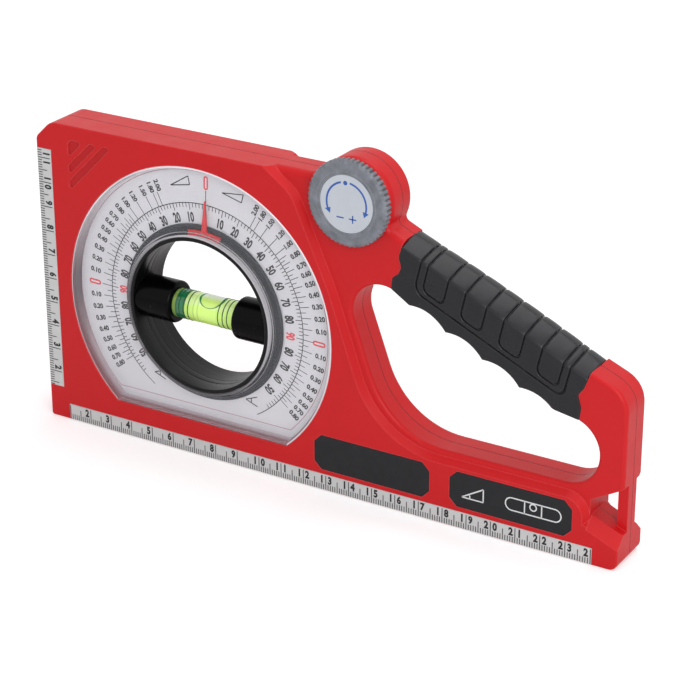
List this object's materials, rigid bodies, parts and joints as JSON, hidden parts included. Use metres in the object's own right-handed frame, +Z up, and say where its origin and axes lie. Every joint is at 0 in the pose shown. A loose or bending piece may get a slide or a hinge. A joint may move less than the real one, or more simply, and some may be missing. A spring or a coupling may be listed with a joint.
{
  "type": "inclinometer",
  "caption": "Hand-held inclinometer: a bubble vial in a geared turning ring over a dial, a knob, a rubber finger grip, a magnetic base and edge rulers.",
  "frame": {"origin": "on the base measuring face, at the middle of its length and of the thickness of the body", "axes": "+X along the base, from the dial end towards the grip; -Y out of the face with the dial; +Z up, away from the base face"},
  "size_m": [0.25, 0.022, 0.1345],
  "materials": {
    "shell": "satin red moulded ABS",
    "grip_rubber": "matt dark grey",
    "steel_screw": "zinc plated",
    "dial_print": "printed light grey sheet",
    "clear_cover": "clear polished acrylic",
    "ring_front": "satin black",
    "ring_rear": "satin black",
    "pointer_red": "red",
    "socket_black": "gloss black",
    "vial_clear": "clear polished acrylic",
    "vial_plug_green": "dark green",
    "vial_spirit": "yellow-green liquid",
    "vial_print": "printed rings",
    "gear_nylon": "natural nylon",
    "pin_steel": "ground",
    "knob_grey": "satin grey, ridged edge",
    "knob_label_print": "printed label",
    "felt": "felt",
    "magnet_metal": "nickel plated",
    "base_scale": "printed film",
    "end_scale": "printed film",
    "badge_black": "dark inset"
  },
  "bodies": {
    "housing": {"front_housing": "shell", "rear_housing": "shell", "housing_screws": "steel_screw", "front_grip": "grip_rubber", "rear_grip": "grip_rubber", "dial_plate": "dial_print", "dial_cover": "clear_cover", "idler_pin": "pin_steel", "friction_ring": "felt", "magnets": "magnet_metal", "base_ruler": "base_scale", "end_ruler": "end_scale", "badge_left": "badge_black", "badge_right": "badge_black"},
    "vial_rotor": {"front_ring": "ring_front", "rear_ring": "ring_rear", "pointer": "pointer_red", "vial_socket_left": "socket_black", "vial_socket_right": "socket_black", "vial_tube": "vial_clear", "vial_plug": "vial_plug_green", "vial_liquid": "vial_spirit", "vial_lines": "vial_print"},
    "idler": {"idler_gear": "gear_nylon"},
    "knob_set": {"knob": "knob_grey", "knob_label": "knob_label_print", "knob_screw": "steel_screw", "drive_pinion": "gear_nylon"}
  },
  "joints": [
    {"name": "ring_turn", "type": "hinge", "parent": "housing", "child": "vial_rotor", "pos_m": [-0.0521, 0, 0.0589], "axis": [0, -1, 0], "range_deg": [-151.1, 156.9]},
    {"name": "idler_turn", "type": "hinge", "parent": "housing", "child": "idler", "pos_m": [-0.00347, 0, 0.09573], "axis": [0, -1, 0], "range_deg": [-346.84, 334.02]},
    {"name": "knob_turn", "type": "hinge", "parent": "housing", "child": "knob_set", "pos_m": [0.0151, 0, 0.118], "axis": [0, -1, 0], "range_deg": [-634.63, 658.99]}
  ],
  "couplings": [
    {"joint": "idler_turn", "follows": "ring_turn", "ratio": -2.2105},
    {"joint": "knob_turn", "follows": "ring_turn", "ratio": 4.2}
  ]
}
